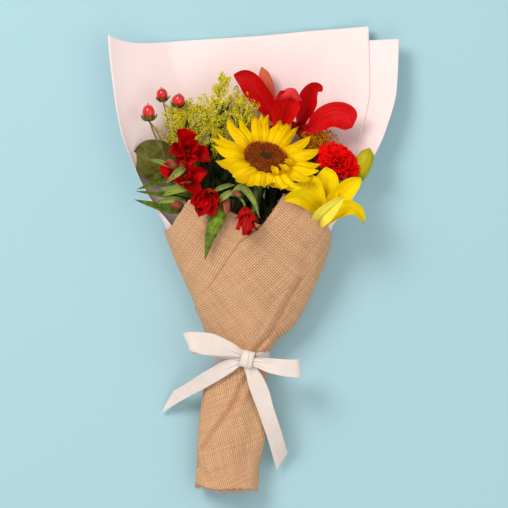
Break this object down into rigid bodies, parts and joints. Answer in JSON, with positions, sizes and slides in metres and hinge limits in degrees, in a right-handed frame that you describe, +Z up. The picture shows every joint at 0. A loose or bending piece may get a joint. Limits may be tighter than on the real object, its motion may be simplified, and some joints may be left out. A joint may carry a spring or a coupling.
{
  "type": "wrapped flower bouquet",
  "caption": "Hand-tied bouquet of cut flowers and foliage lying on its back, wrapped in blush paper and burlap, with a cream ribbon bow at the waist.",
  "frame": {"origin": "on the table, at the middle of the bouquet's length and width", "axes": "+Y from the cut stems towards the flower heads, +Z up from the table, +X to the right as the picture shows it"},
  "size_m": [0.3512, 0.5614, 0.1238],
  "materials": {
    "jute_burlap": "open plain weave of jute, matte",
    "blush_paper": "pale blush wrapping paper, matte",
    "cream_satin": "woven satin ribbon, soft sheen",
    "natural_twine": "twisted plant fibre, matte",
    "yellow_ray": "sunflower ray petal, satin, living tissue",
    "seed_disc": "dense florets, red brown with a green black middle, matte, living tissue",
    "green_stem": "green stem and calyx, satin, living tissue",
    "soft_leaf": "thin green leaf, satin, living tissue",
    "leathery_leaf": "dark leathery leaf, soft sheen, living tissue",
    "floret_yellow": "tiny yellow green florets, matte, living tissue",
    "floret_bronze": "tiny bronze florets, matte, living tissue",
    "olive_bud": "closed bud, satin, living tissue",
    "lily_red": "thick red petal, satin, living tissue",
    "rust_bud": "closed orange red bud, satin, living tissue",
    "lily_yellow": "thick yellow petal, satin, living tissue",
    "carnation_red": "ruffled red bloom, matte, living tissue",
    "deep_red": "deep red petal, satin, living tissue",
    "striped_bud": "red and green striped bud, satin, living tissue",
    "berry_red": "glossy red berry, living tissue"
  },
  "bodies": {
    "root": {"burlap_wrap": "jute_burlap", "paper_front_sheet": "blush_paper", "paper_back_sheet": "blush_paper", "ribbon_bow": "cream_satin", "stem_tie": "natural_twine", "sunflower_disc": "seed_disc", "sunflower_rays_front": "yellow_ray", "sunflower_rays_back": "yellow_ray", "sunflower_calyx": "green_stem", "sunflower_stem": "green_stem", "red_lily_petal_1": "lily_red", "red_lily_petal_2": "lily_red", "red_lily_petal_3": "lily_red", "red_lily_petal_4": "lily_red", "red_lily_petal_5": "lily_red", "red_lily_petal_6": "lily_red", "red_lily_bud": "rust_bud", "red_lily_stem": "green_stem", "yellow_lily_petal_1": "lily_yellow", "yellow_lily_petal_2": "lily_yellow", "yellow_lily_petal_3": "lily_yellow", "yellow_lily_petal_4": "lily_yellow", "yellow_lily_petal_5": "lily_yellow", "yellow_lily_petal_6": "lily_yellow", "yellow_lily_stem": "green_stem", "lily_green_bud": "olive_bud", "carnation_stem": "green_stem", "carnation_calyx": "green_stem", "carnation_bloom": "carnation_red", "alstroemeria_stem_1": "green_stem", "alstroemeria_stem_2": "green_stem", "alstroemeria_bloom_1": "deep_red", "alstroemeria_bloom_2": "deep_red", "alstroemeria_bloom_3": "deep_red", "alstroemeria_bloom_4": "deep_red", "alstroemeria_bud_1": "striped_bud", "alstroemeria_bud_2": "striped_bud", "alstroemeria_bud_3": "striped_bud", "alstroemeria_bud_4": "striped_bud", "alstroemeria_leaf_1": "soft_leaf", "alstroemeria_leaf_2": "soft_leaf", "alstroemeria_leaf_3": "soft_leaf", "alstroemeria_leaf_4": "soft_leaf", "alstroemeria_leaf_5": "soft_leaf", "alstroemeria_leaf_6": "soft_leaf", "alstroemeria_leaf_7": "soft_leaf", "salal_leaf": "leathery_leaf", "salal_stalk": "green_stem", "hypericum_stem": "green_stem", "hypericum_berry_1": "berry_red", "hypericum_berry_2": "berry_red", "hypericum_berry_3": "berry_red", "hypericum_calyx_1": "soft_leaf", "hypericum_calyx_2": "soft_leaf", "hypericum_calyx_3": "soft_leaf", "solidago_spray_1": "floret_yellow", "solidago_spray_2": "floret_yellow", "solidago_spray_3": "floret_yellow", "bronze_spray": "floret_bronze"}
  },
  "joints": []
}
